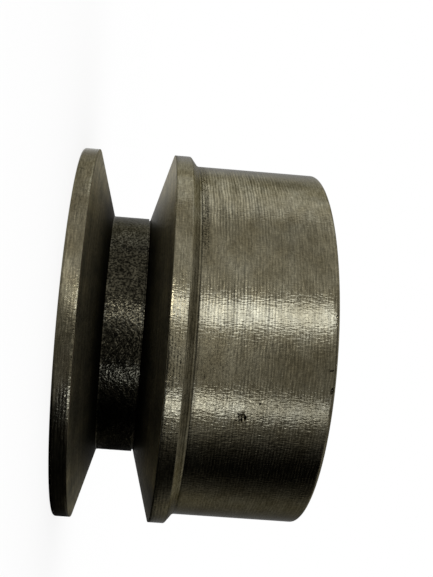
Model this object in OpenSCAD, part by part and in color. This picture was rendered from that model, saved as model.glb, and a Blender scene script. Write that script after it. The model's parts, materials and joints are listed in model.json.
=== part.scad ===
// Engine pulley, turned from one piece of steel: a V-belt groove between two flanges,
// a short shoulder, and a wide plain drum, bored through for a keyed engine shaft.
// It stands on the outer flange's face, with the shaft's axis along +Z.

/* [Body] */
// Diameter over the rims of the two flanges
rim_d = 80; // [78:0.5:110]
// Diameter of the plain drum
drum_d = 76; // [64:0.5:79]
// Length of the pulley along the shaft
pulley_l = 50; // [40:0.5:90]
// Width of the outer flange's rim
outer_rim_w = 3.4; // [2.4:0.1:8]
// Width of the inner flange's rim
inner_rim_w = 3.3; // [2.4:0.1:8]
// Length of the shoulder that slopes from the inner rim down to the drum
shoulder_l = 1.6; // [1:0.1:4]

/* [Belt groove] */
// Width of the groove between the rims
groove_w = 16.2; // [14:0.1:17]
// Depth of the groove below the rims
groove_depth = 14.3; // [9:0.1:18]
// Angle between the groove's two flanks, in degrees
groove_angle = 32; // [28:1:40]

/* [Shaft bore] */
// Diameter of the bore
bore_d = 25; // [14:0.5:32]
// Width of the keyway
keyway_w = 8; // [4:0.5:10]
// Depth of the keyway, from the bore's wall
keyway_depth = 3.3; // [1.5:0.1:4]
// Chamfer at the two mouths of the bore
bore_chamfer = 1; // [0.4:0.1:2]

/* [Edges] */
// Radius of the edge round the outer flange's face
face_edge = 0.5; // [0.2:0.05:1]
// Radius of the two lips of the belt groove
lip_edge = 0.3; // [0.1:0.05:0.8]
// Radius of the two corners of the groove's floor
floor_corner = 0.3; // [0.1:0.05:1]
// Radius of the edge between the inner rim and the shoulder
shoulder_edge = 0.5; // [0.2:0.05:1]
// Radius of the fillet at the shoulder's foot
shoulder_fillet = 0.8; // [0.2:0.05:1.2]
// Radius of the edge round the drum's end
drum_edge = 0.6; // [0.2:0.05:2]

/* [Hidden] */

$fn = 96;
// Straight steps in the profile's small round corners
edge_steps = 4;
// How far a cut runs past the face that it opens
overcut = 1;

rim_r = rim_d / 2;
drum_r = drum_d / 2;
bore_r = bore_d / 2;
floor_r = rim_r - groove_depth;
flank_l = groove_depth * tan(groove_angle / 2);

// Heights along the shaft, from the outer flange's face
groove_start = outer_rim_w;
floor_start = groove_start + flank_l;
groove_end = groove_start + groove_w;
floor_end = groove_end - flank_l;
inner_rim_end = groove_end + inner_rim_w;
drum_start = inner_rim_end + shoulder_l;

// The turned outline from the axis out and back: each corner's point, then its edge radius
CORNERS = [
    [[0, 0], 0],
    [[rim_r, 0], face_edge],
    [[rim_r, groove_start], lip_edge],
    [[floor_r, floor_start], floor_corner],
    [[floor_r, floor_end], floor_corner],
    [[rim_r, groove_end], lip_edge],
    [[rim_r, inner_rim_end], shoulder_edge],
    [[drum_r, drum_start], shoulder_fillet],
    [[drum_r, pulley_l], drum_edge],
    [[0, pulley_l], 0]
];

// The corner at point b, between a and c, as an arc of the given radius
function rounded(a, b, c, radius) =
    let (
        to_a = (a - b) / norm(a - b),
        to_c = (c - b) / norm(c - b),
        half = acos(to_a * to_c) / 2,
        centre = b + (to_a + to_c) / norm(to_a + to_c) * radius / sin(half),
        first = b + to_a * radius / tan(half) - centre,
        last = b + to_c * radius / tan(half) - centre,
        turn = 180 - 2 * half
    )
    [
        for (i = [0 : edge_steps])
            let (angle = turn * i / edge_steps)
            centre + (first * sin(turn - angle) + last * sin(angle)) / sin(turn)
    ];

// A corner of the outline as one point, or as the points of its round edge
function corner_points(i) =
    let (
        count = len(CORNERS),
        here = CORNERS[i],
        before = CORNERS[(i + count - 1) % count],
        after = CORNERS[(i + 1) % count]
    )
    here[1] == 0 ? [here[0]] : rounded(before[0], here[0], after[0], here[1]);

// The solid that the lathe leaves before the shaft bore is cut
module turned_blank() {
    rotate_extrude()
        polygon([for (i = [0 : len(CORNERS) - 1]) for (point = corner_points(i)) point]);
}

// Chamfer at one mouth of the bore, widening upwards to the face at z = 0
module mouth_chamfer() {
    translate([0, 0, -bore_chamfer])
        cylinder(r1 = bore_r, r2 = bore_r + bore_chamfer + overcut, h = bore_chamfer + overcut);
}

// The shaft's bore, both mouths, and the keyway, which lies along +Y
module shaft_cut() {
    translate([0, 0, -overcut])
        cylinder(r = bore_r, h = pulley_l + 2 * overcut);
    translate([-keyway_w / 2, 0, -overcut])
        cube([keyway_w, bore_r + keyway_depth, pulley_l + 2 * overcut]);
    translate([0, 0, pulley_l])
        mouth_chamfer();
    mirror([0, 0, 1])
        mouth_chamfer();
}

// The whole pulley, one piece of steel
module pulley() {
    color("#68645a")
        difference() {
            turned_blank();
            shaft_cut();
        }
}

pulley();
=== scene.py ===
# %% [markdown]
# # An engine pulley, turned from one piece of steel
# The pulley has a V-belt groove between two flanges, a short shoulder and a wide plain drum.
# Its shape and size come from the CAD model, which stands on the outer flange's face, with the shaft
# along Z. This lesson models the same piece again as a finer mesh, with the marks that the lathe and the
# years left on it, and gives each turned surface its own finish.

# %% Load the CAD model and keep its box
import bpy
import json
import math
from mathutils import Matrix, Vector

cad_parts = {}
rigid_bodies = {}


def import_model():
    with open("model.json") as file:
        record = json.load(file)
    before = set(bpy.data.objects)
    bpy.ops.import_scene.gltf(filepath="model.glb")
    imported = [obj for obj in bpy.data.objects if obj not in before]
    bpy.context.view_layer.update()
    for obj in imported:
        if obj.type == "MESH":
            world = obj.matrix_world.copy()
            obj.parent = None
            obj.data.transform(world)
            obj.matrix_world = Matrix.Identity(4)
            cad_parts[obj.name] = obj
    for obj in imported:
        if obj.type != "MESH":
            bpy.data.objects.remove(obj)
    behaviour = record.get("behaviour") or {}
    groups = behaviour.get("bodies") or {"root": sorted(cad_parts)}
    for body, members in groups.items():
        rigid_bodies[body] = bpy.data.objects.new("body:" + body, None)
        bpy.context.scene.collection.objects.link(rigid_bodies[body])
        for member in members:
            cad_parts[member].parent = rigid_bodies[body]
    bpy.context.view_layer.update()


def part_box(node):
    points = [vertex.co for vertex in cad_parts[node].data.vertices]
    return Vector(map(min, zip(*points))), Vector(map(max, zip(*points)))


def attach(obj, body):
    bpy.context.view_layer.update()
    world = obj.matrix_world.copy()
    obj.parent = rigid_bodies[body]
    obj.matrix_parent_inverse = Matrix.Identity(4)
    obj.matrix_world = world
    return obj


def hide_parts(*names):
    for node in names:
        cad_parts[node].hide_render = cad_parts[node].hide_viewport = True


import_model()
pulley_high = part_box("pulley")[1]

# %% [markdown]
# ## Sizes
# Blender works in metres, so each size is written in millimetres and scaled once.
# The rim's radius and the length are read from the CAD model. The other sizes are the ones that the lathe
# operator would read off the drawing.

# %% Sizes of the turned outline
MM = 0.001
rim_r = pulley_high.x
pulley_l = pulley_high.z
drum_r = 38 * MM
outer_rim_w = 3.4 * MM
inner_rim_w = 3.3 * MM
shoulder_l = 1.6 * MM
groove_w = 16.2 * MM
groove_depth = 14.3 * MM
groove_angle = math.radians(32)
bore_r = 12.5 * MM
bore_chamfer = 1 * MM
keyway_w = 8 * MM
keyway_depth = 3.3 * MM

floor_r = rim_r - groove_depth
flank_l = groove_depth * math.tan(groove_angle / 2)
groove_start = outer_rim_w
floor_start = groove_start + flank_l
groove_end = groove_start + groove_w
floor_end = groove_end - flank_l
inner_rim_end = groove_end + inner_rim_w
drum_start = inner_rim_end + shoulder_l
print("groove floor from", floor_start, "to", floor_end, "and drum from", drum_start, "to", pulley_l)

# %% [markdown]
# ## Camera
# The photograph was taken from close by, level with the belt groove, with the pulley lying across it.
# The CAD model stands upright, so the camera is rolled by a quarter turn: right in the picture is up the
# shaft, and up in the picture is -X. Three small turns then give the picture's slight slope.

# %% Camera
PICTURE_H = 577
SENSOR = 36
focal_px = 774.535
camera_distance = 174.12 * MM
camera_height = 13.04 * MM
camera_turns = (4.5887, -1.9262, 4.5144)
centre_shift_px = (54.84, -15.50)

# The columns are the camera's right, up and back directions.
quarter_turn = Matrix(((0, -1, 0), (0, 0, -1), (1, 0, 0)))
small_turns = Matrix.Identity(3)
for axis_name, degrees in zip("XYZ", camera_turns):
    small_turns = small_turns @ Matrix.Rotation(math.radians(degrees), 3, axis_name)

bpy.ops.object.camera_add(location=(0, -camera_distance, camera_height))
camera = bpy.context.object
camera.rotation_euler = (quarter_turn @ small_turns).to_euler()
camera.data.sensor_width = SENSOR
camera.data.lens = focal_px / PICTURE_H * SENSOR
camera.data.shift_x = centre_shift_px[0] / PICTURE_H
camera.data.shift_y = centre_shift_px[1] / PICTURE_H
camera.data.clip_start = 0.01
bpy.context.scene.camera = camera
print("camera lens", round(camera.data.lens, 2), "mm")


def around(degrees, radius, height):
    """A place about the shaft: 0 degrees faces the camera, and more degrees go up in the picture."""
    angle = math.radians(degrees)
    return Vector((-math.sin(angle) * radius, -math.cos(angle) * radius, height))


# %% [markdown]
# ## Stage and light
# Bare steel shows what stands round it, so the light is planned as a set of things to reflect. A white
# world and a white floor give the even grey. Two pairs of upright strip lamps give the two bright bands
# along the drum, and three wider, weaker lamps lift the side above. Grey cards stand for the room's walls
# and lie on the floor. They are darkest on the lower side, where the photograph's steel goes nearly black.
# Only reflections see the cards, so they neither shade the floor nor show behind the pulley.

# %% Helpers for nodes
def new_material(name):
    """An empty node material, and its node tree."""
    material = bpy.data.materials.new(name)
    material.use_nodes = True
    material.node_tree.nodes.clear()
    return material, material.node_tree


def add_node(tree, kind, settings=None, **inputs):
    """Adds a shader node, sets its options, and links or sets its inputs by name."""
    made = tree.nodes.new("ShaderNode" + kind)
    for option, value in (settings or {}).items():
        setattr(made, option, value)
    for name, value in inputs.items():
        plug(tree, made.inputs[name.replace("_", " ")], value)
    return made


def plug(tree, socket, value):
    """Links an output to the socket, or sets the socket's own value."""
    if isinstance(value, bpy.types.NodeSocket):
        tree.links.new(value, socket)
    else:
        socket.default_value = value


def maths(tree, operation, first, second=0.0, third=0.0):
    """One Math node, and its result."""
    made = tree.nodes.new("ShaderNodeMath")
    made.operation = operation
    for socket, value in zip(made.inputs, (first, second, third)):
        plug(tree, socket, value)
    return made.outputs[0]


def ramp(tree, value, low, high, start=0.0, end=1.0):
    """A smooth step from the start at the low value to the end at the high one."""
    step = add_node(
        tree, "MapRange", {"interpolation_type": "SMOOTHSTEP"},
        Value=value, From_Min=low, From_Max=high, To_Min=start, To_Max=end,
    )
    return step.outputs["Result"]


# %% White world
world = bpy.data.worlds.new("white studio")
bpy.context.scene.world = world
world.use_nodes = True
sky = world.node_tree.nodes["Background"]
sky.inputs["Color"].default_value = (1, 1, 1, 1)
sky.inputs["Strength"].default_value = 1.0
bpy.context.scene.view_settings.view_transform = "Standard"
print("world strength:", sky.inputs["Strength"].default_value)

# %% Floor
FLOOR_RADIUS = 6
SHADOW_LIFT = 0.8
bpy.ops.mesh.primitive_circle_add(vertices=96, radius=FLOOR_RADIUS, fill_type="NGON", location=(0, 0, 0))
floor = bpy.context.object
floor.name = "floor"
floor_material, tree = new_material("white floor")
rays = add_node(tree, "LightPath").outputs
paint = add_node(tree, "BsdfDiffuse", Color=(0.99, 0.99, 0.99, 1))
white = add_node(tree, "Emission", Color=(1, 1, 1, 1), Strength=1.0)
# The camera sees the shadow lightly, on a floor that is nearly white. Reflections see the floor as white.
mirrored = maths(tree, "ADD", rays["Is Glossy Ray"], rays["Is Transmission Ray"])
share = maths(tree, "MULTIPLY_ADD", rays["Is Camera Ray"], SHADOW_LIFT, mirrored)
sheet = add_node(tree, "MixShader", Fac=share)
tree.links.new(paint.outputs[0], sheet.inputs[1])
tree.links.new(white.outputs[0], sheet.inputs[2])
add_node(tree, "OutputMaterial", Surface=sheet.outputs[0])
floor.data.materials.append(floor_material)
print("floor radius in metres:", FLOOR_RADIUS)


# %% Lamps
LAMP_DISTANCE = 0.7
DAYLIGHT = (0.75, 0.82, 1.0)
# The bright bands slope a little across the picture, so their lamps lean, by degrees.
LEAN = 15
LOW_LEAN = -8


def strip_lamp(name, degrees, width, foot, top, radiance, lean=0):
    """An upright lamp that faces the shaft, with its sizes in metres and an even brightness over its area.
    It may lean to one side. Only the metal's reflections see it, so the floor keeps the plain level of the
    world."""
    height = top - foot
    middle_height = (foot + top) / 2
    bpy.ops.object.light_add(type="AREA", location=around(degrees, LAMP_DISTANCE, middle_height))
    lamp = bpy.context.object
    lamp.name = name
    lamp.data.shape = "RECTANGLE"
    lamp.data.size = width
    lamp.data.size_y = height
    lamp.data.energy = radiance * math.pi * width * height
    lamp.data.color = DAYLIGHT
    facing = Vector((0, 0, middle_height)) - lamp.location
    leaning = Matrix.Rotation(math.radians(lean), 3, "Z")
    lamp.rotation_euler = (facing.to_track_quat("-Z", "Y").to_matrix() @ leaning).to_euler()
    lamp.visible_camera = False
    lamp.visible_diffuse = False
    print("lamp:", name, "at", degrees, "degrees")


strip_lamp("main strip", degrees=15.3, width=0.155, foot=0.04, top=0.14, radiance=5.1, lean=LEAN)
strip_lamp("upper main strip", degrees=17.7, width=0.155, foot=0.14, top=0.26, radiance=6.1, lean=LEAN)
strip_lamp("low strip", degrees=-38.5, width=0.078, foot=0.02, top=0.11, radiance=10)
strip_lamp("upper low strip", degrees=-39.2, width=0.078, foot=0.11, top=0.30, radiance=4.1, lean=LOW_LEAN)
strip_lamp("side lamp", degrees=100, width=0.31, foot=0, top=0.7, radiance=1.2)
strip_lamp("upper side lamp", degrees=127, width=0.40, foot=0, top=0.7, radiance=0.62)
strip_lamp("fill lamp", degrees=46, width=0.36, foot=0.085, top=0.15, radiance=0.32)

# %% Cards
CARD_STEPS = 48
LIFT = 0.05 * MM


def card_material(name, greys, glow):
    """Light of its own, whose grey changes from stop to stop round the shaft, where 1 is white."""
    material, tree = new_material(name)
    place = add_node(tree, "TexCoord").outputs["Object"]
    parts = add_node(tree, "SeparateXYZ", Vector=place).outputs
    up = maths(tree, "MULTIPLY", parts["X"], -1.0)
    front = maths(tree, "MULTIPLY", parts["Y"], -1.0)
    angle = maths(tree, "ARCTAN2", up, front)
    first, last = greys[0][0], greys[-1][0]
    low, high = math.radians(first), math.radians(last)
    turn = add_node(tree, "MapRange", Value=angle, From_Min=low, From_Max=high)
    shades = add_node(tree, "ValToRGB", Fac=turn.outputs["Result"])
    stops = shades.color_ramp.elements
    for degrees, grey in greys[1:-1]:
        stops.new((degrees - first) / (last - first)).color = (grey, grey, grey, 1)
    stops[0].color = (greys[0][1],) * 3 + (1,)
    stops[-1].color = (greys[-1][1],) * 3 + (1,)
    light = add_node(tree, "Emission", Color=shades.outputs["Color"], Strength=glow)
    add_node(tree, "OutputMaterial", Surface=light.outputs[0])
    return material


def reflection_card(name, greys, near, far, glow=1.0):
    """A card bent round the shaft, that only reflections see. Its greys are stops of degrees and
    brightness, from its start to its end. Near and far are the radius and height of its two edges.
    Glow is its strength."""
    start, end = greys[0][0], greys[-1][0]
    first = around(start, near[0], near[1])
    second = around(start, far[0], far[1])
    bpy.ops.object.select_all(action="DESELECT")
    bpy.ops.mesh.primitive_plane_add(size=1)
    card = bpy.context.object
    card.name = name
    bpy.ops.object.mode_set(mode="EDIT")
    bpy.ops.mesh.select_all(action="SELECT")
    bpy.ops.mesh.merge(type="CENTER")
    bpy.ops.transform.translate(value=first)
    bpy.ops.mesh.extrude_region_move(TRANSFORM_OT_translate={"value": second - first})
    bpy.ops.mesh.select_all(action="SELECT")
    # The spin turns the other way about its axis, so the axis points down.
    bpy.ops.mesh.spin(steps=CARD_STEPS, angle=math.radians(start - end), center=(0, 0, 0), axis=(0, 0, -1))
    bpy.ops.object.mode_set(mode="OBJECT")
    card.data.materials.append(card_material(name, greys, glow))
    card.visible_camera = False
    card.visible_diffuse = False
    card.visible_shadow = False
    print("card:", name, "from", start, "to", end, "degrees")


# The room's wall stands behind the lamps on the lower side: grey in front, nearly black below, dim behind.
# It is brighter near its foot, over a darker skirting, and plain grey high up. The far wall and its
# skirting are on the upper side, behind the pulley. The room's sizes are in metres.
ROOM_R = 0.90
GLOW_R = 0.85
SKIRTING = 0.055
GLOW_FOOT = 0.070
GLOW_TOP = 0.122
FAR_TOP = 0.26
ROOM_TOP = 0.50
MIDDLE_FOOT = 0.45
MIDDLE_TOP = 0.92
CEILING = 2.5
wall_greys = [
    (2, 0.64), (-24, 0.53), (-45, 0.44), (-54, 0.27), (-64, 0.05), (-76, 0.009), (-90, 0.006),
    (-104, 0.090), (-120, 0.39), (-140, 0.28), (-152, 0.25), (-178, 0.32),
]
glow_greys = [
    (2, 0.95), (-8, 0.60), (-14, 0.50), (-30, 0.42), (-45, 0.38), (-54, 0.27), (-64, 0.05), (-76, 0.009),
    (-90, 0.006), (-104, 0.05), (-120, 0.22), (-140, 0.11), (-152, 0.09), (-178, 0.12),
]
skirting_greys = [(2, 0.12), (-46, 0.10), (-60, 0.03), (-178, 0.03)]
reflection_card("room wall", wall_greys, near=(ROOM_R, SKIRTING), far=(ROOM_R, ROOM_TOP))
reflection_card("low glow", glow_greys, near=(GLOW_R, GLOW_FOOT), far=(GLOW_R, GLOW_TOP), glow=2.7)
reflection_card("skirting", skirting_greys, near=(ROOM_R, 0), far=(ROOM_R, SKIRTING))
upper_greys = [(2, 0.3), (-35, 0.3), (-60, 0.5), (-120, 0.5), (-178, 0.5)]
reflection_card("upper wall", upper_greys, near=(ROOM_R, ROOM_TOP), far=(ROOM_R, CEILING))
middle_greys = [(-110, 0.5), (-135, 0.8), (-178, 0.8)]
reflection_card("middle wall", middle_greys, near=(GLOW_R, MIDDLE_FOOT), far=(GLOW_R, MIDDLE_TOP))
far_greys = [(178, 0.35), (160, 0.48), (150, 0.65), (140, 1.0)]
reflection_card("far wall", far_greys, near=(ROOM_R, SKIRTING), far=(ROOM_R, FAR_TOP))
low_far_greys = [(178, 0.38), (152, 0.42), (138, 0.62), (124, 1.0)]
reflection_card("far skirting", low_far_greys, near=(ROOM_R, 0), far=(ROOM_R, SKIRTING))
top_greys = [(45, 0.9), (36, 0.35), (2, 0.3)]
reflection_card("front top", top_greys, near=(ROOM_R, ROOM_TOP), far=(ROOM_R, CEILING))

# The floor's shade lies just over it, in rings round the pulley. A bright shine lies on it in front, which
# the belt groove's floor reflects.
UNDER_RIM = rim_r - 0.7 * MM
BESIDE_RIM = rim_r + 1 * MM
RING_1 = 0.10
RING_2 = 0.20
near_greys = [
    (4, 0.40), (-7, 0.27), (-14, 0.27), (-18, 0.30), (-22, 0.05), (-28, 0.012), (-44, 0.010), (-58, 0.008),
    (-86, 0.02), (-112, 0.035), (-130, 0.08), (-150, 0.12),
]
high_greys = [
    (68, 0.50), (58, 0.41), (51, 0.35), (44, 0.36), (37, 0.45), (30, 0.53), (22, 0.58), (17, 0.75),
    (13, 0.80), (9, 0.50), (4, 0.22),
]
reflection_card("near floor", near_greys, near=(BESIDE_RIM, LIFT), far=(RING_1, LIFT))
reflection_card("high floor", high_greys, near=(BESIDE_RIM, LIFT), far=(RING_1, LIFT), glow=2.0)
rim_greys = [(45, 0.95), (15, 0.8), (-5, 0.3), (-20, 0.0), (-178, 0.0)]
reflection_card("rim floor", rim_greys, near=(UNDER_RIM, LIFT), far=(BESIDE_RIM, LIFT))
reflection_card("far floor", [(-150, 0.9), (-178, 0.9)], near=(BESIDE_RIM, LIFT), far=(RING_1, LIFT))
shine_greys = [(25, 0.1), (21, 1.0), (16, 1.0), (11, 0.1)]
reflection_card("floor shine", shine_greys, near=(RING_2, LIFT), far=(GLOW_R, LIFT), glow=19)
front_greys = [(4, 0.10), (-50, 0.06), (-70, 0.0), (-104, 0.0)]
reflection_card("front floor", front_greys, near=(RING_1, LIFT), far=(ROOM_R, LIFT))
reflection_card("high back floor", low_far_greys, near=(RING_1, LIFT), far=(ROOM_R, LIFT))
reflection_card("back floor", [(-104, 0.3), (-178, 0.3)], near=(RING_1, LIFT), far=(RING_2, LIFT))
reflection_card("dark back floor", [(-104, 0.0), (-178, 0.0)], near=(RING_2, LIFT), far=(ROOM_R, LIFT))

# %% [markdown]
# ## The turned body
# A lathe cuts one outline all the way round, and Blender's spin does the same. The outline is drawn as a
# chain of edges, by extruding one point from corner to corner. Its corners are then rounded by a vertex
# bevel, as the tool's nose and the file left them, the long stretches are divided, and the chain is spun
# about the shaft. The body could also be stacked from cylinders and cut, but one outline keeps every corner
# and its rounding in one list. The keyway isn't round, so a box cuts it afterwards.

# %% Draw the outline, corner by corner
face_edge = 0.5 * MM
lip_edge = 0.10 * MM
floor_corner = 0.3 * MM
shoulder_edge = 0.5 * MM
shoulder_fillet = 0.8 * MM
drum_edge = 0.6 * MM
mouth_edge = 0.15 * MM
relief_w = 0.36 * MM
relief_depth = 0.4 * MM
relief_edge = 0.06 * MM
relief_foot = floor_end - relief_depth * math.tan(groove_angle / 2)

# Each corner's radius from the shaft, its height, and the radius of its round edge
outline = [
    (bore_r + bore_chamfer, 0, mouth_edge),
    (rim_r, 0, face_edge),
    (rim_r, groove_start, lip_edge),
    (floor_r, floor_start, floor_corner),
    (floor_r, floor_end - relief_w, relief_edge),
    (floor_r - relief_depth, floor_end - relief_w, relief_edge),
    (floor_r - relief_depth, relief_foot, relief_edge),
    (rim_r, groove_end, lip_edge),
    (rim_r, inner_rim_end, shoulder_edge),
    (drum_r, drum_start, shoulder_fillet),
    (drum_r, pulley_l, drum_edge),
    (bore_r + bore_chamfer, pulley_l, mouth_edge),
    (bore_r, pulley_l - bore_chamfer, mouth_edge),
    (bore_r, bore_chamfer, mouth_edge),
]
corners = [Vector((radius, 0, height)) for radius, height, round_edge in outline]

bpy.ops.object.select_all(action="DESELECT")
bpy.ops.mesh.primitive_plane_add(size=1 * MM)
body = bpy.context.object
body.name = "pulley_body"
body.data.name = "pulley_body"
bpy.ops.object.mode_set(mode="EDIT")
bpy.ops.mesh.select_all(action="SELECT")
bpy.ops.mesh.merge(type="CENTER")
bpy.ops.transform.translate(value=corners[0])
for here, following in zip(corners, corners[1:]):
    bpy.ops.mesh.extrude_region_move(TRANSFORM_OT_translate={"value": following - here})
bpy.ops.object.mode_set(mode="OBJECT")


def select_where(piece, test, element="vertices"):
    """Selects the piece's vertices, edges or faces whose middle passes the test, and nothing else."""
    mesh = piece.data
    for group in (mesh.polygons, mesh.edges, mesh.vertices):
        group.foreach_set("select", [False] * len(group))
    if element == "vertices":
        places = [vertex.co for vertex in mesh.vertices]
    elif element == "edges":
        ends = [edge.vertices for edge in mesh.edges]
        places = [(mesh.vertices[a].co + mesh.vertices[b].co) / 2 for a, b in ends]
    else:
        places = [face.center for face in mesh.polygons]
    chosen = [bool(test(place)) for place in places]
    items = {"vertices": mesh.vertices, "edges": mesh.edges, "faces": mesh.polygons}[element]
    items.foreach_set("select", chosen)
    return sum(chosen)


TOUCH = 0.002 * MM
EDGE_STEPS = 5
# Close the chain with the last edge, from the bore's foot back to the first corner.
chain_ends = (corners[0], corners[-1])
select_where(body, lambda place: min((place - end).length for end in chain_ends) < TOUCH)
bpy.ops.object.mode_set(mode="EDIT")
bpy.ops.mesh.select_mode(type="VERT")
bpy.ops.mesh.edge_face_add()
bpy.ops.object.mode_set(mode="OBJECT")

for index, here in enumerate(corners):
    round_edge = outline[index][2]
    to_last = (corners[index - 1] - here).normalized()
    to_next = (corners[(index + 1) % len(corners)] - here).normalized()
    half_angle = to_last.angle(to_next) / 2
    setback = round_edge / math.tan(half_angle)
    select_where(body, lambda place: (place - here).length < TOUCH)
    bpy.ops.object.mode_set(mode="EDIT")
    bpy.ops.mesh.bevel(offset_type="OFFSET", offset=setback, segments=EDGE_STEPS, affect="VERTICES")
    bpy.ops.object.mode_set(mode="OBJECT")
print("outline points after rounding:", len(body.data.vertices))

# %% Divide the long stretches
# A stretch's middle keeps this far from the corners.
CLEAR = 1 * MM
# The first step of a small rounded corner leaves the stretch by more than this, so it isn't divided.
IN_LINE = 0.0002 * MM


def divide(piece, test, cuts):
    """Divides the edges whose middle passes the test."""
    count = select_where(piece, test, "edges")
    bpy.ops.object.mode_set(mode="EDIT")
    bpy.ops.mesh.select_mode(type="EDGE")
    bpy.ops.mesh.subdivide(number_cuts=cuts)
    bpy.ops.object.mode_set(mode="OBJECT")
    return count


def between(low, value, high):
    """Whether the value lies between the two limits."""
    return low < value < high


def on_radius(radius, low, high):
    """A test for the places at a radius, between two heights."""
    return lambda place: abs(place.x - radius) < IN_LINE and between(low, place.z, high)


def on_flank(low, high):
    """A test for the places on a flank, between two heights."""
    return lambda place: between(floor_r + CLEAR, place.x, rim_r - CLEAR) and between(low, place.z, high)


def on_end_face(height):
    """A test for the places on an end face, outside the bore."""
    return lambda place: abs(place.z - height) < IN_LINE and place.x > bore_r + 2 * CLEAR


# Each long stretch of the outline, and the number of cuts in it
stretches = {
    "drum": (on_radius(drum_r, drum_start + CLEAR, pulley_l - CLEAR), 30),
    "floor": (on_radius(floor_r, floor_start, floor_end), 25),
    "outer flank": (on_flank(0, floor_start), 9),
    "inner flank": (on_flank(floor_end, groove_end), 9),
    "outer rim": (on_radius(rim_r, 0, groove_start), 4),
    "inner rim": (on_radius(rim_r, groove_end, inner_rim_end), 4),
    "groove end face": (on_end_face(0), 6),
    "drum end face": (on_end_face(pulley_l), 6),
}
for name, (test, cuts) in stretches.items():
    print("divided", name, "edges:", divide(body, test, cuts))

# %% Spin the outline about the shaft
ROUND_STEPS = 480
bpy.ops.object.mode_set(mode="EDIT")
bpy.ops.mesh.select_mode(type="VERT")
bpy.ops.mesh.select_all(action="SELECT")
bpy.ops.mesh.spin(steps=ROUND_STEPS, angle=math.tau, center=(0, 0, 0), axis=(0, 0, 1))
bpy.ops.mesh.select_all(action="SELECT")
bpy.ops.mesh.remove_doubles(threshold=TOUCH / 2)
bpy.ops.mesh.normals_make_consistent(inside=False)
bpy.ops.object.mode_set(mode="OBJECT")
print("turned body:", len(body.data.vertices), "vertices,", len(body.data.polygons), "faces")

# %% Cut the keyway
bpy.ops.object.select_all(action="DESELECT")
cutter_reach = bore_r + keyway_depth
bpy.ops.mesh.primitive_cube_add(size=1, location=(0, cutter_reach / 2, pulley_l / 2))
key_cutter = bpy.context.object
key_cutter.dimensions = (keyway_w, cutter_reach, pulley_l * 2)
bpy.ops.object.transform_apply(location=True, rotation=True, scale=True)


def cut(piece, cutter):
    """Takes the cutter's shape out of the piece, and deletes the cutter."""
    bpy.ops.object.select_all(action="DESELECT")
    piece.select_set(True)
    bpy.context.view_layer.objects.active = piece
    modifier = piece.modifiers.new("cut", "BOOLEAN")
    modifier.operation = "DIFFERENCE"
    modifier.solver = "EXACT"
    modifier.object = cutter
    bpy.ops.object.modifier_apply(modifier=modifier.name)
    bpy.data.objects.remove(cutter)


cut(body, key_cutter)
print("after the keyway:", len(body.data.polygons), "faces")

# %% [markdown]
# ## Wear
# The groove's floor is rough with old scale, so its points are pushed in and out a little. The pit in the
# drum, the nicks in its end edge and the scratches are cut, each with a small ragged cutter. They could be
# drawn in the finish instead, but a real dent catches the light at its rim.

# %% Rough groove floor
def out_from_shaft(place):
    """The place's distance from the shaft."""
    return math.hypot(place.x, place.y)


SCALE_GRAIN = 0.9 * MM
SCALE_DEPTH = 0.06 * MM
floor_low = floor_start + 0.4 * MM
floor_high = floor_end - relief_w - 0.2 * MM
floor_points = [
    vertex.index for vertex in body.data.vertices
    if abs(out_from_shaft(vertex.co) - floor_r) < TOUCH and between(floor_low, vertex.co.z, floor_high)
]
floor_group = body.vertex_groups.new(name="groove floor")
floor_group.add(floor_points, 1.0, "REPLACE")
scale_texture = bpy.data.textures.new("scale", "CLOUDS")
scale_texture.noise_scale = SCALE_GRAIN
scale_texture.noise_depth = 2
roughen = body.modifiers.new("roughen", "DISPLACE")
roughen.texture = scale_texture
roughen.texture_coords = "LOCAL"
roughen.strength = SCALE_DEPTH
roughen.mid_level = 0.5
roughen.vertex_group = floor_group.name
bpy.context.view_layer.objects.active = body
bpy.ops.object.modifier_apply(modifier=roughen.name)
print("rough floor points:", len(floor_points))


# %% Marks
def mark(height, degrees, radius, along, across, depth, tilt=0, ragged=0.15, seed=1):
    """A small ragged cutter on the surface, with its height and half-sizes in millimetres. The half-sizes
    run along the shaft, across it and into the steel."""
    place = around(degrees, radius, height * MM)
    bpy.ops.mesh.primitive_ico_sphere_add(subdivisions=2, radius=1, location=place)
    cutter = bpy.context.object
    cutter.scale = (depth * MM, across * MM, along * MM)
    cutter.rotation_euler = (math.radians(tilt), 0, math.atan2(place.y, place.x))
    bpy.ops.object.mode_set(mode="EDIT")
    bpy.ops.mesh.select_all(action="SELECT")
    bpy.ops.transform.vertex_random(offset=ragged, seed=seed)
    bpy.ops.object.mode_set(mode="OBJECT")
    bpy.ops.object.transform_apply(location=True, rotation=True, scale=True)
    return cutter


def cut_marks(cutters):
    """Joins the cutters, which don't touch one another, and takes them out of the body."""
    bpy.ops.object.select_all(action="DESELECT")
    for cutter in cutters:
        cutter.select_set(True)
    bpy.context.view_layer.objects.active = cutters[0]
    bpy.ops.object.join()
    cut(body, bpy.context.object)
    print("after", len(cutters), "marks:", len(body.data.polygons), "faces")


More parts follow.
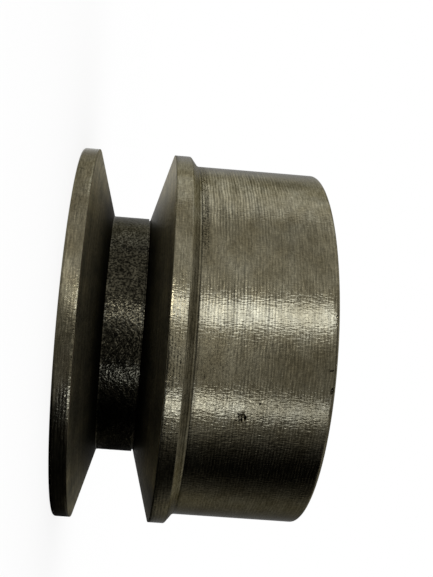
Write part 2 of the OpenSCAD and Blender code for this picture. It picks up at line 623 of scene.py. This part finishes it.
# The pit in the drum is a ragged dent, torn and pitted deeper in places.
cut_marks([
    mark(33.95, -20.60, drum_r, along=0.80, across=0.74, depth=0.11, ragged=0.28, seed=2),
])
cut_marks([
    mark(33.30, -19.85, drum_r, along=0.42, across=0.14, depth=0.22, tilt=-10, seed=3),
    mark(34.15, -19.75, drum_r, along=0.36, across=0.13, depth=0.22, tilt=8, seed=4),
    mark(34.50, -20.95, drum_r, along=0.25, across=0.52, depth=0.30, seed=21),
    mark(33.93, -21.60, drum_r, along=0.17, across=0.45, depth=0.25, tilt=6, seed=22),
    mark(33.45, -21.70, drum_r, along=0.14, across=0.26, depth=0.22, seed=5),
    mark(32.88, -21.65, drum_r, along=0.22, across=0.10, depth=0.18, seed=6),
    mark(36.82, -16.50, drum_r, along=0.16, across=0.32, depth=0.15, seed=7),
    # Nicks in the drum's end edge
    mark(48.95, -6.0, drum_r, along=0.45, across=0.18, depth=0.22, tilt=15, seed=8),
    mark(49.35, -11.7, drum_r, along=0.30, across=0.80, depth=0.30, seed=9),
    mark(49.75, -4.6, drum_r, along=0.25, across=0.50, depth=0.25, seed=10),
    mark(49.45, 6.3, drum_r, along=0.25, across=0.45, depth=0.22, seed=11),
    mark(49.40, 8.5, drum_r, along=0.22, across=0.35, depth=0.22, seed=12),
    # Scratches and dots on the rims, and a scratch beside the shoulder
    mark(0.88, 51.1, rim_r, along=0.60, across=0.12, depth=0.15, seed=13),
    mark(2.38, 43.5, rim_r, along=0.16, across=0.22, depth=0.12, seed=14),
    mark(2.62, 40.0, rim_r, along=0.14, across=0.18, depth=0.12, seed=15),
    mark(20.10, -11.2, rim_r, along=0.70, across=0.10, depth=0.10, tilt=12, seed=16),
    mark(20.30, -9.9, rim_r, along=0.40, across=0.08, depth=0.10, tilt=-20, seed=17),
    mark(19.95, 29.6, rim_r, along=0.18, across=0.30, depth=0.15, seed=19),
    mark(21.21, 9.7, rim_r, along=0.14, across=0.20, depth=0.12, seed=20),
    mark(26.00, -27.4, drum_r, along=0.50, across=0.10, depth=0.10, tilt=8, seed=18),
])

# %% Clean up after the cuts, and shade smooth with the sharp edges kept
# Points nearer than this are one point.
SAME_PLACE = 0.0002 * MM
SHARP_ANGLE = math.radians(28)
QUAD = 4
bpy.ops.object.select_all(action="DESELECT")
body.select_set(True)
bpy.context.view_layer.objects.active = body
bpy.ops.object.mode_set(mode="EDIT")
bpy.ops.mesh.select_all(action="SELECT")
bpy.ops.mesh.remove_doubles(threshold=SAME_PLACE)
# The cuts leave faces with many corners round the marks, which are divided into triangles.
bpy.ops.mesh.select_mode(type="FACE")
bpy.ops.mesh.select_face_by_sides(number=QUAD, type="GREATER", extend=False)
bpy.ops.mesh.quads_convert_to_tris()
bpy.ops.object.mode_set(mode="OBJECT")
bpy.ops.object.shade_smooth_by_angle(angle=SHARP_ANGLE)
print("finished body:", len(body.data.polygons), "faces")

# %% [markdown]
# ## The finish
# The steel is bare, oily and dull. Fine lines run round it, because the tool fed slowly along it as it
# turned. A wave with the tool's feed gives the even lines, and noise that is stretched round the shaft
# gives the broken ones. The lines differ in polish as well as in colour, so they stand out inside the
# bright bands and sink back outside them. The drum has dark smears and a rough band beside the shoulder,
# the groove's lips are worn dull, and the groove's floor is older scale, dark and pitted. Pictures could
# carry all this, but patterns on the shaft's own coordinates need no file and show no seam.

# %% Coordinates and noises
def shaft_coordinates(tree):
    """The direction round the shaft, the distance from it and the height along it."""
    place = add_node(tree, "TexCoord").outputs["Object"]
    parts = add_node(tree, "SeparateXYZ", Vector=place).outputs
    flat = add_node(tree, "CombineXYZ", X=parts["X"], Y=parts["Y"]).outputs[0]
    direction = add_node(tree, "VectorMath", {"operation": "NORMALIZE"}, Vector=flat).outputs["Vector"]
    distance = add_node(tree, "VectorMath", {"operation": "LENGTH"}, Vector=flat).outputs["Value"]
    return direction, distance, parts["Z"]


def line_noise(tree, direction, along, streak, pitch, radius, detail=1.0, rough=0.5):
    """Noise in streaks of a given length round the shaft and width along it, from -0.5 to 0.5."""
    ways = add_node(tree, "SeparateXYZ", Vector=direction).outputs
    turns = radius / streak
    vector = add_node(
        tree, "CombineXYZ",
        X=maths(tree, "MULTIPLY", ways["X"], turns),
        Y=maths(tree, "MULTIPLY", ways["Y"], turns),
        Z=maths(tree, "DIVIDE", along, pitch),
    ).outputs[0]
    noise = add_node(tree, "TexNoise", Vector=vector, Scale=1.0, Detail=detail, Roughness=rough)
    return maths(tree, "SUBTRACT", noise.outputs["Fac"], 0.5)


def feed_lines(tree, along, pitch):
    """The tool's feed lines, one at each pitch, from -0.5 to 0.5."""
    wave = maths(tree, "SINE", maths(tree, "MULTIPLY", along, math.tau / pitch))
    return maths(tree, "MULTIPLY", wave, 0.5)


def patch(tree, direction, height, noise, degrees, middle, along, across, radius):
    """A patch with a ragged edge, 1 at its middle and 0 outside. Its half-sizes are along the shaft and
    across it, in millimetres."""
    chord = add_node(tree, "VectorMath", {"operation": "DISTANCE"})
    plug(tree, chord.inputs[0], direction)
    plug(tree, chord.inputs[1], around(degrees, 1, 0))
    over = maths(tree, "MULTIPLY", chord.outputs["Value"], radius / (across * MM))
    up = maths(tree, "DIVIDE", maths(tree, "SUBTRACT", height, middle * MM), along * MM)
    over_squared = maths(tree, "MULTIPLY", over, over)
    up_squared = maths(tree, "MULTIPLY", up, up)
    reach = maths(tree, "SQRT", maths(tree, "ADD", over_squared, up_squared))
    return ramp(tree, maths(tree, "MULTIPLY_ADD", noise, 1.6, reach), 0.5, 1.3, 1.0, 0.0)


def limited(tree, value, low, high):
    """The value, kept between the two limits."""
    return maths(tree, "MINIMUM", maths(tree, "MAXIMUM", value, low), high)


def tinted(tree, tone, amount, noise):
    """The tone, made lighter and darker by the noise."""
    return maths(tree, "MULTIPLY", tone, maths(tree, "MULTIPLY_ADD", noise, amount, 1.0))


# A grazing view of the steel is slightly warm.
EDGE_TINT = (1.0, 0.985, 0.93)
# The places of the Mix node's colour sockets
MIX_FIRST = 6
MIX_SECOND = 7
MIX_RESULT = 2


def steel(tree, colours, stain, tone, height, relief, roughness, metallic=1.0, edge=0.6):
    """Bare steel, from the clean colour to the stained one. Edge is how bright a grazing view makes it."""
    clean, stained = colours
    hue = add_node(tree, "Mix", {"data_type": "RGBA", "clamp_factor": True})
    plug(tree, hue.inputs["Factor"], maths(tree, "MULTIPLY_ADD", stain, 2.5, 0.5))
    plug(tree, hue.inputs[MIX_FIRST], clean + (1,))
    plug(tree, hue.inputs[MIX_SECOND], stained + (1,))
    scale = maths(tree, "MAXIMUM", tone, 0.05)
    colour = hue.outputs[MIX_RESULT]
    shade = add_node(tree, "VectorMath", {"operation": "SCALE"}, Vector=colour, Scale=scale)
    bump = add_node(tree, "Bump", Strength=1.0, Distance=relief, Height=height)
    shader = add_node(
        tree, "BsdfPrincipled",
        Base_Color=shade.outputs["Vector"],
        Metallic=metallic,
        Roughness=roughness,
        Specular_Tint=tuple(edge * part for part in EDGE_TINT) + (1,),
        Normal=bump.outputs["Normal"],
    )
    add_node(tree, "OutputMaterial", Surface=shader.outputs[0])


# %% Feed, relief, colours, and the places of the drum's marks
FEED = 0.565 * MM
TURNED_RELIEF = 0.030 * MM
SCALE_RELIEF = 0.045 * MM
FLANK_RELIEF = 0.050 * MM
STEEL = (0.130, 0.118, 0.080)
BROWN_STEEL = (0.127, 0.110, 0.067)
FLOOR_STEEL = (0.027, 0.0245, 0.0165)
PIT_STEEL = (0.042, 0.036, 0.022)
# Each smear's angle, height, half-sizes along and across in millimetres, and how dark it is
DRUM_SMEARS = [
    (58.0, 42.5, 4.5, 1.8, 0.26),
    (49.5, 47.5, 2.6, 1.3, 0.22),
    (31.0, 42.0, 5.0, 4.5, 0.14),
    (60.5, 39.0, 2.2, 1.4, 0.20),
]
# Where the tool's lines show most: angle, height, half-sizes along and across, and how deep they look
DRUM_LINES = [
    (58.0, 30.0, 11.0, 16.0, 0.55),
    (9.0, 31.0, 9.0, 5.0, 0.50),
]


# %% Turned steel for the drum, the rims and the end faces
def turned_steel(
    name, radius, along="height", line=0.22, polish=0.165, edge=0.48, bright=1.0, marked=False
):
    """Steel as the lathe left it. The lines follow the height on a drum and the distance on a face."""
    material, tree = new_material(name)
    direction, distance, height = shaft_coordinates(tree)
    way = height if along == "height" else distance
    wobble = line_noise(tree, direction, way, streak=4 * MM, pitch=2.5 * MM, radius=radius)
    bent = maths(tree, "MULTIPLY_ADD", wobble, 0.4 * MM, way)
    flecks = line_noise(tree, direction, way, streak=0.30 * MM, pitch=0.75 * MM, radius=radius)
    chatter = line_noise(tree, direction, way, streak=0.4 * MM, pitch=1.3 * MM, radius=radius)
    dashes = line_noise(tree, direction, bent, streak=1.5 * MM, pitch=0.2 * MM, radius=radius)
    streaks = line_noise(tree, direction, bent, streak=8 * MM, pitch=0.5 * MM, radius=radius)
    stains = line_noise(tree, direction, way, streak=5 * MM, pitch=4 * MM, radius=radius, detail=3.0)
    grit = line_noise(tree, direction, way, streak=0.16 * MM, pitch=0.16 * MM, radius=radius)
    feed = feed_lines(tree, bent, FEED)
    surface = maths(tree, "MULTIPLY_ADD", chatter, 0.6, flecks)
    surface = maths(tree, "MULTIPLY_ADD", feed, 0.1, surface)
    tone = tinted(tree, bright, 0.5, streaks)
    tone = tinted(tree, tone, 1.3, dashes)
    tone = tinted(tree, tone, 0.7, flecks)
    tone = tinted(tree, tone, 0.9, grit)
    tone = tinted(tree, tone, -0.8, stains)
    tone = tinted(tree, tone, line, feed)
    dull = maths(tree, "MULTIPLY_ADD", feed, 0.08, maths(tree, "MULTIPLY_ADD", dashes, 0.2, polish))
    dull = limited(tree, dull, polish - 0.06, polish + 0.14)
    if marked:
        lines = maths(tree, "MULTIPLY_ADD", streaks, 2.0, maths(tree, "MULTIPLY", feed, 0.8))
        tone, dull = add_drum_marks(tree, direction, height, stains, lines, tone, dull)
    steel(tree, (STEEL, BROWN_STEEL), stains, tone, surface, TURNED_RELIEF, dull, edge=edge)
    return material


def add_drum_marks(tree, direction, height, stains, lines, tone, dull):
    """The drum's dark smears, the coarse lines above them, the rough band and painted shade by the shoulder.
    """
    for degrees, middle, along, across, dark in DRUM_SMEARS:
        smear = patch(tree, direction, height, stains, degrees, middle, along, across, drum_r)
        tone = tinted(tree, tone, -dark, smear)
    for degrees, middle, along, across, deep in DRUM_LINES:
        lined = patch(tree, direction, height, stains, degrees, middle, along, across, drum_r)
        tone = tinted(tree, tone, deep, maths(tree, "MULTIPLY", lined, lines))
    # Painted shade: the drum's colour is darkened by half in the corner at the shoulder's foot, where shade
    # falls.
    painted_corner_shade = ramp(tree, height, drum_start + 0.2 * MM, drum_start + 0.55 * MM, 0.5, 1.0)
    tone = maths(tree, "MULTIPLY", tone, painted_corner_shade)
    upward = add_node(tree, "SeparateXYZ", Vector=direction).outputs["X"]
    upper = ramp(tree, upward, -0.50, -0.30, 1.0, 0.0)
    band = ramp(tree, height, drum_start + 1.35 * MM, drum_start + 1.85 * MM, 1.0, 0.0)
    rough_band = maths(tree, "MULTIPLY", upper, band)
    specks = line_noise(tree, direction, height, streak=0.27 * MM, pitch=0.27 * MM, radius=drum_r)
    speckled = tinted(tree, maths(tree, "MULTIPLY", tone, 0.66), 4.2, specks)
    tone = maths(tree, "MULTIPLY_ADD", rough_band, maths(tree, "SUBTRACT", speckled, tone), tone)
    dull = maths(tree, "MULTIPLY_ADD", rough_band, 0.1, dull)
    return tone, dull


# %% Scale on the groove's floor, and the flanks
def scaled_steel(name, radius, colour):
    """Old scale, coarse and pitted, which shines only where it is worn."""
    material, tree = new_material(name)
    direction, distance, height = shaft_coordinates(tree)
    grain = line_noise(tree, direction, height, streak=0.34 * MM, pitch=0.40 * MM, radius=radius, detail=1.5)
    lumps = line_noise(tree, direction, height, streak=1.6 * MM, pitch=1.1 * MM, radius=radius, detail=2.0)
    patches = line_noise(tree, direction, height, streak=5 * MM, pitch=3 * MM, radius=radius, detail=2.0)
    tone = ramp(tree, grain, -0.13, 0.17, 0.25, 1.8)
    tone = tinted(tree, tone, 2.2, lumps)
    tone = tinted(tree, tone, 1.2, patches)
    surface = maths(tree, "MULTIPLY_ADD", lumps, 0.8, grain)
    dull = limited(tree, maths(tree, "MULTIPLY_ADD", grain, -0.4, 0.16), 0.1, 0.25)
    steel(tree, (colour, colour), patches, tone, surface, SCALE_RELIEF, dull, edge=0.56)
    return material


def flank_steel(name, radius, bright, roughness, metallic, edge):
    """A flank that the belt has rubbed: dull and brown, with rings, and painted shade towards the groove's
    floor.
    """
    material, tree = new_material(name)
    direction, distance, height = shaft_coordinates(tree)
    grain = line_noise(tree, direction, distance, streak=0.6 * MM, pitch=0.4 * MM, radius=radius, detail=2.0)
    rings = line_noise(tree, direction, distance, streak=20 * MM, pitch=0.7 * MM, radius=radius)
    patches = line_noise(tree, direction, distance, streak=5 * MM, pitch=4 * MM, radius=radius, detail=3.0)
    tone = tinted(tree, bright, 1.4, grain)
    tone = tinted(tree, tone, 1.2, rings)
    tone = tinted(tree, tone, 1.4, patches)
    # Painted shade: the flank's colour darkens towards the groove's floor, where shade falls.
    painted_groove_shade = ramp(tree, distance, floor_r + 1 * MM, floor_r + 9 * MM, 0.1, 1.1)
    tone = maths(tree, "MULTIPLY", tone, painted_groove_shade)
    colours = (STEEL, BROWN_STEEL)
    steel(tree, colours, patches, tone, grain, FLANK_RELIEF, roughness, metallic=metallic, edge=edge)
    return material


# %% One finish for each turned surface
finishes = {
    "drum": turned_steel("drum steel", drum_r, marked=True),
    "rims": turned_steel("rim steel", rim_r, line=0.12, edge=0.50, bright=1.05),
    "lips": flank_steel("lip steel", rim_r, bright=0.75, roughness=0.5, metallic=1.0, edge=0.4),
    "shoulder": turned_steel("shoulder steel", drum_r, polish=0.28, edge=0.40, bright=1.0),
    "ends": turned_steel("end face steel", drum_r, along="distance"),
    "inner flank": flank_steel(
        "inner flank steel", rim_r, bright=1.7, roughness=0.36, metallic=0.975, edge=0.66
    ),
    "outer flank": flank_steel(
        "outer flank steel", rim_r, bright=1.4, roughness=0.46, metallic=1.0, edge=0.5
    ),
    "groove floor": scaled_steel("groove floor steel", floor_r, FLOOR_STEEL),
    "bore": turned_steel("bore steel", bore_r),
    "pits": scaled_steel("pit steel", drum_r, PIT_STEEL),
}
body.data.materials.clear()
for finish in finishes.values():
    body.data.materials.append(finish)
print("materials:", [material.name for material in body.data.materials])


# %% Give each face its finish
SKIN = 0.012 * MM
LIP_ZONE = 1.2 * lip_edge
# How far a face's normal leans along the shaft, from 0 across it to 1 along it
LIP_LEAN = 0.05
SHOULDER_LEAN = 0.35
END_LEAN = 0.6
STEEP_LEAN = 0.9


def finish_of(middle, normal):
    """The turned surface that a face belongs to, by its place and the way it faces."""
    out = out_from_shaft(middle)
    lean = abs(normal.z)
    if out < bore_r + keyway_depth + TOUCH and lean < STEEP_LEAN:
        return "bore"
    from_lip = min(abs(middle.z - groove_start), abs(middle.z - groove_end))
    if from_lip < LIP_ZONE and out > rim_r - LIP_ZONE and between(LIP_LEAN, lean, 1 - LIP_LEAN):
        return "lips"
    if middle.z > drum_start + CLEAR and lean < STEEP_LEAN:
        at_end = middle.z > pulley_l - drum_edge
        return "pits" if out < drum_r - SKIN and not at_end else "drum"
    if between(face_edge, middle.z, inner_rim_end - shoulder_edge) and out < rim_r - SKIN:
        if between(floor_start, middle.z, floor_end) and out < floor_r + 0.1 * MM:
            return "groove floor"
        if middle.z < floor_end:
            return "outer flank"
        return "inner flank" if middle.z < groove_end else "rims"
    if between(inner_rim_end - shoulder_edge, middle.z, drum_start + CLEAR) and normal.z > SHOULDER_LEAN:
        return "shoulder"
    if middle.z > inner_rim_end:
        return "ends" if lean > END_LEAN else "drum"
    return "ends" if lean > END_LEAN else "rims"


order = list(finishes)
given = [finish_of(face.center, face.normal) for face in body.data.polygons]
for face, finish in zip(body.data.polygons, given):
    face.material_index = order.index(finish)
print("faces:", {finish: given.count(finish) for finish in order})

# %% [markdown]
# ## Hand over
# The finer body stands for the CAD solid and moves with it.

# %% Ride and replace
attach(body, "root")
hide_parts("pulley")
